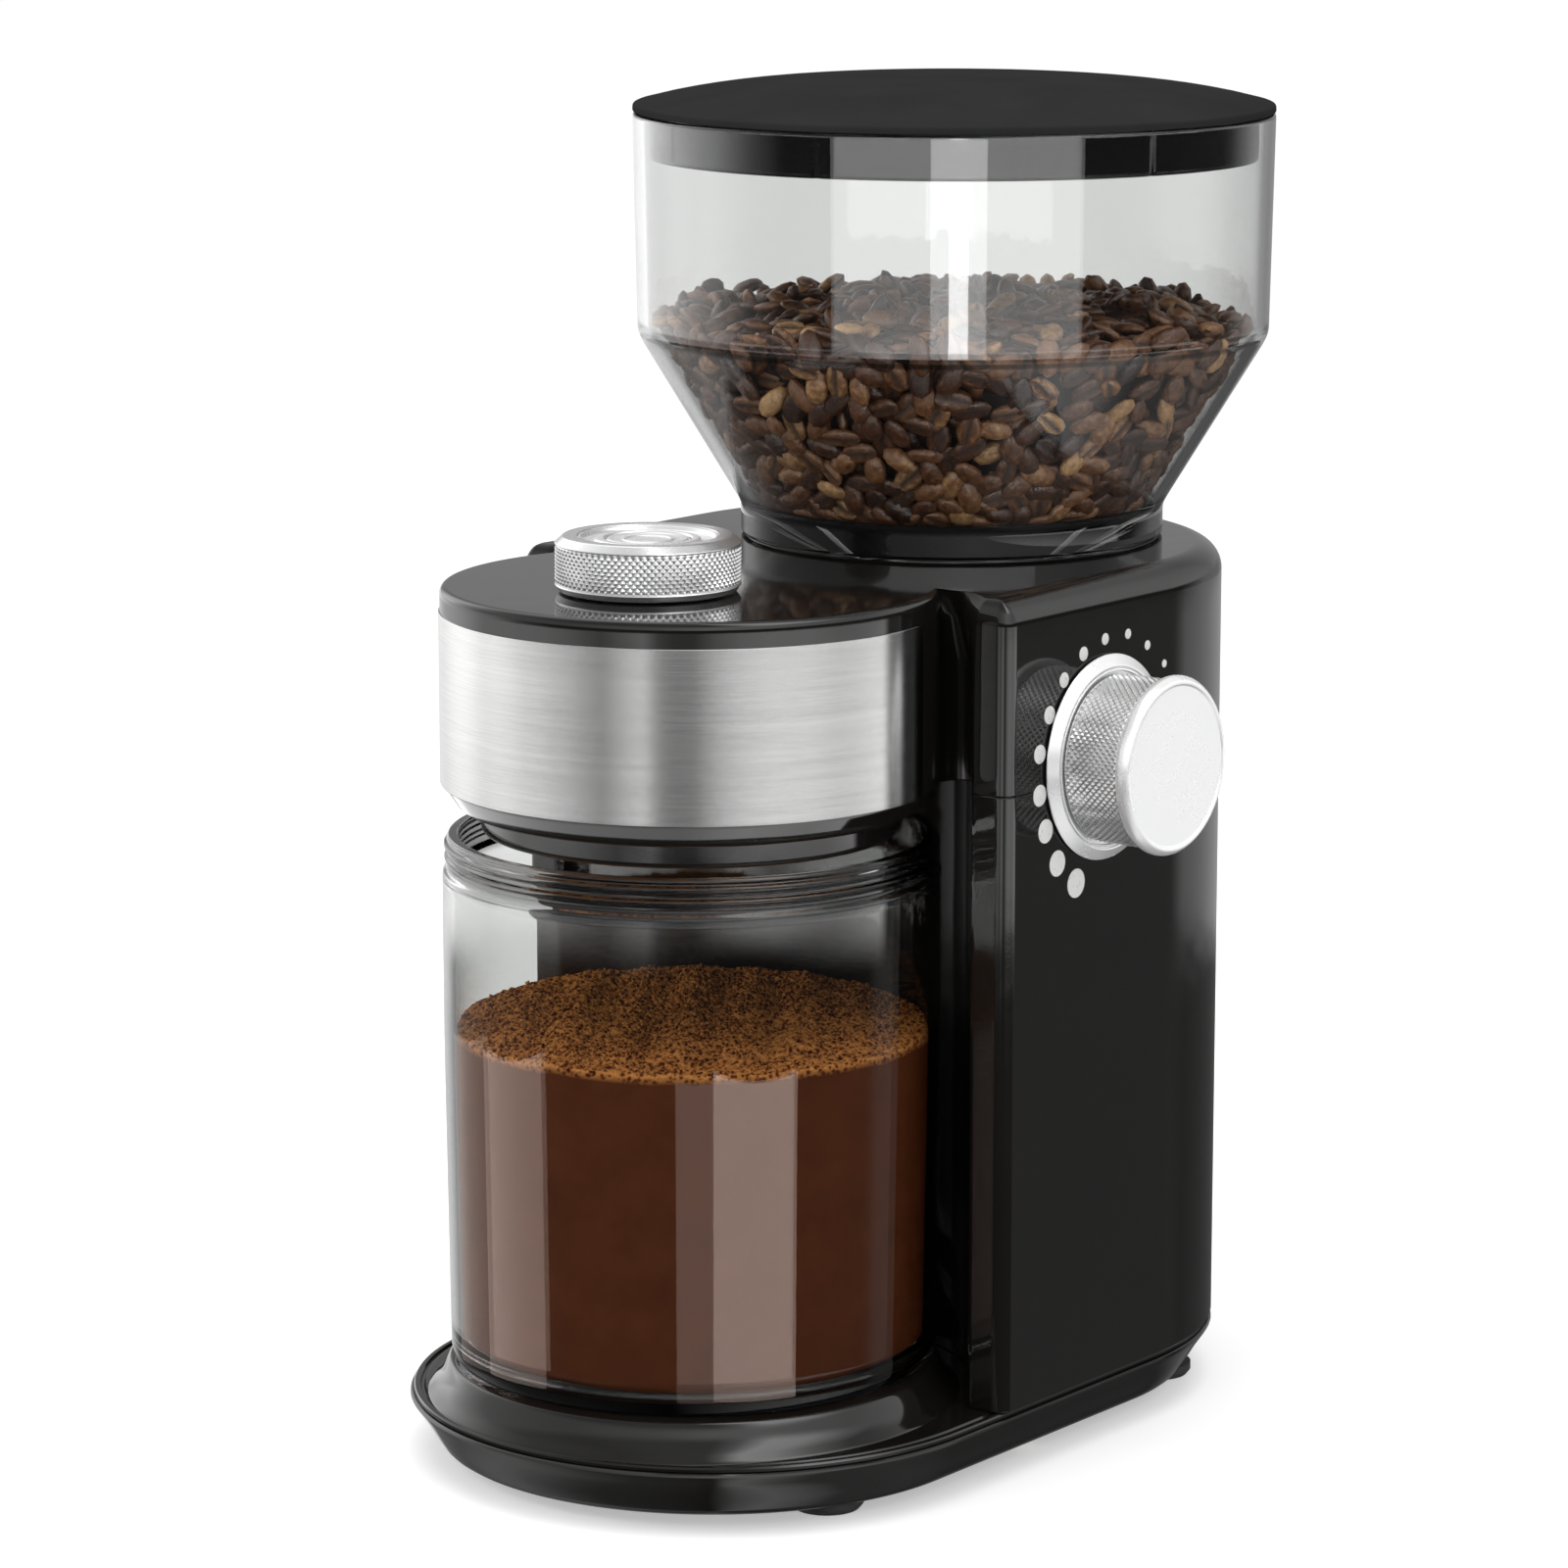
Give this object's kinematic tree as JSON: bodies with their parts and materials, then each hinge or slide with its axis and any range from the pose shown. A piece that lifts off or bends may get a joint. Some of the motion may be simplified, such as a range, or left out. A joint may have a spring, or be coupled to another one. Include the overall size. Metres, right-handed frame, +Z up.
{
  "type": "burr coffee grinder",
  "caption": "Electric burr coffee grinder with a clear lift-off bean hopper, a side grind dial, a top quantity knob with start button and a clear grounds cup.",
  "frame": {"origin": "middle of the bounding box in plan, on the floor under the feet", "axes": "+Z up, +X towards the grind dial, +Y towards the hopper and the back; the front with the cup faces -Y"},
  "size_m": [0.141, 0.201, 0.2634],
  "materials": {
    "gloss_black": "mirror-glossy moulded plastic",
    "dark_plastic": "satin moulded plastic",
    "lid_plastic": "matte dome with a glossy skirt",
    "clear_plastic": "clear glossy plastic",
    "cup_plastic": "clear glossy plastic",
    "brushed_band": "fine horizontal brushing",
    "knob_metal": "knurled and polished",
    "knob_bright": "polished rim, spun face",
    "burr_steel": "hardened and ground",
    "plain_steel": "turned",
    "screw_zinc": "zinc plated",
    "lamination": "varnished laminations",
    "winding": "enamelled copper",
    "bracket_metal": "die cast",
    "bearing_bronze": "sintered bronze",
    "gear_plastic": "natural acetal",
    "carbon": "carbon",
    "board_green": "coated circuit board",
    "part_blue": "moulded component",
    "rubber_black": "moulded rubber"
  },
  "bodies": {
    "chassis": {"bottom_cover": "gloss_black", "rubber_feet": "rubber_black", "base_screws": "screw_zinc", "base_tray": "gloss_black", "lower_housing": "gloss_black", "housing_screws": "screw_zinc", "upper_housing": "gloss_black", "steel_band": "brushed_band", "head_base": "gloss_black", "spout": "dark_plastic", "hopper_socket": "dark_plastic", "grind_chamber": "dark_plastic", "chute": "dark_plastic", "stator_stack": "lamination", "field_coils": "winding", "upper_bracket": "bracket_metal", "lower_bracket": "bracket_metal", "motor_bolts": "plain_steel", "motor_mounts": "rubber_black", "upper_bearing": "bearing_bronze", "lower_bearing": "bearing_bronze", "brush_holders": "dark_plastic", "carbon_brushes": "carbon", "control_board": "board_green", "timer_pot": "part_blue", "start_switch": "part_blue", "cord_bushing": "rubber_black", "dial_bush": "gear_plastic", "idler_pin": "plain_steel"},
    "hopper": {"bean_hopper": "clear_plastic"},
    "lid": {"hopper_lid": "lid_plastic"},
    "dial": {"dial_flange": "knob_bright", "dial_grip": "knob_metal", "dial_cap": "knob_bright", "dial_shaft": "plain_steel", "dial_pinion": "gear_plastic"},
    "idler": {"idler_gear": "gear_plastic"},
    "adjuster": {"adjusting_ring": "gear_plastic"},
    "upper_burr_set": {"burr_carrier": "dark_plastic", "upper_burr": "burr_steel", "carrier_spring": "plain_steel"},
    "rotor": {"motor_shaft": "plain_steel", "armature": "lamination", "armature_winding": "winding", "commutator": "winding", "cooling_fan": "dark_plastic", "impeller": "dark_plastic", "lower_burr": "burr_steel", "burr_nut": "screw_zinc"},
    "quantity_knob": {"knob_grip": "knob_metal", "knob_cap": "knob_bright", "knob_stem": "dark_plastic"},
    "button": {"start_button": "knob_bright", "button_rod": "plain_steel", "button_spring": "plain_steel"},
    "cup": {"grounds_cup": "cup_plastic"}
  },
  "joints": [
    {"name": "hopper_lift", "type": "slide", "parent": "chassis", "child": "hopper", "axis": [0, 0, 1], "range_m": [0, 0.09]},
    {"name": "lid_lift", "type": "slide", "parent": "hopper", "child": "lid", "axis": [0, 0, 1], "range_m": [0, 0.06]},
    {"name": "dial_turn", "type": "hinge", "parent": "chassis", "child": "dial", "pos_m": [0.05355, 0.0045, 0.1377], "axis": [1, 0, 0], "range_deg": [0, 290]},
    {"name": "idler_turn", "type": "hinge", "parent": "chassis", "child": "idler", "pos_m": [0.02152, 0.0045, 0.1368], "axis": [0, 0, 1], "range_deg": [-146, 1]},
    {"name": "adjuster_turn", "type": "hinge", "parent": "chassis", "child": "adjuster", "pos_m": [-0.00645, 0.0365, 0.1368], "axis": [0, 0, 1], "range_deg": [-1, 46]},
    {"name": "upper_burr_rise", "type": "slide", "parent": "chassis", "child": "upper_burr_set", "axis": [0, 0, 1], "range_m": [0, 0.0008], "stiffness_N_per_m": 100, "springref_m": 0.0062, "deforming": ["carrier_spring"]},
    {"name": "rotor_spin", "type": "hinge", "parent": "chassis", "child": "rotor", "pos_m": [-0.00645, 0.0365, 0.1368], "axis": [0, 0, 1], "continuous": true},
    {"name": "quantity_turn", "type": "hinge", "parent": "chassis", "child": "quantity_knob", "pos_m": [-0.00645, -0.0605, 0.1723], "axis": [0, 0, 1], "range_deg": [-135, 135]},
    {"name": "start_press", "type": "slide", "parent": "quantity_knob", "child": "button", "axis": [0, 0, -1], "range_m": [0, 0.0015], "stiffness_N_per_m": 400, "springref_m": -0.001, "deforming": ["button_spring"]},
    {"name": "cup_slide", "type": "slide", "parent": "chassis", "child": "cup", "axis": [0, -1, 0], "range_m": [0, 0.12]}
  ],
  "couplings": [
    {"joint": "dial_turn", "follows": "upper_burr_rise", "rad_per_m": 6325},
    {"joint": "idler_turn", "follows": "upper_burr_rise", "rad_per_m": -3162.5},
    {"joint": "adjuster_turn", "follows": "upper_burr_rise", "rad_per_m": 973.08}
  ]
}
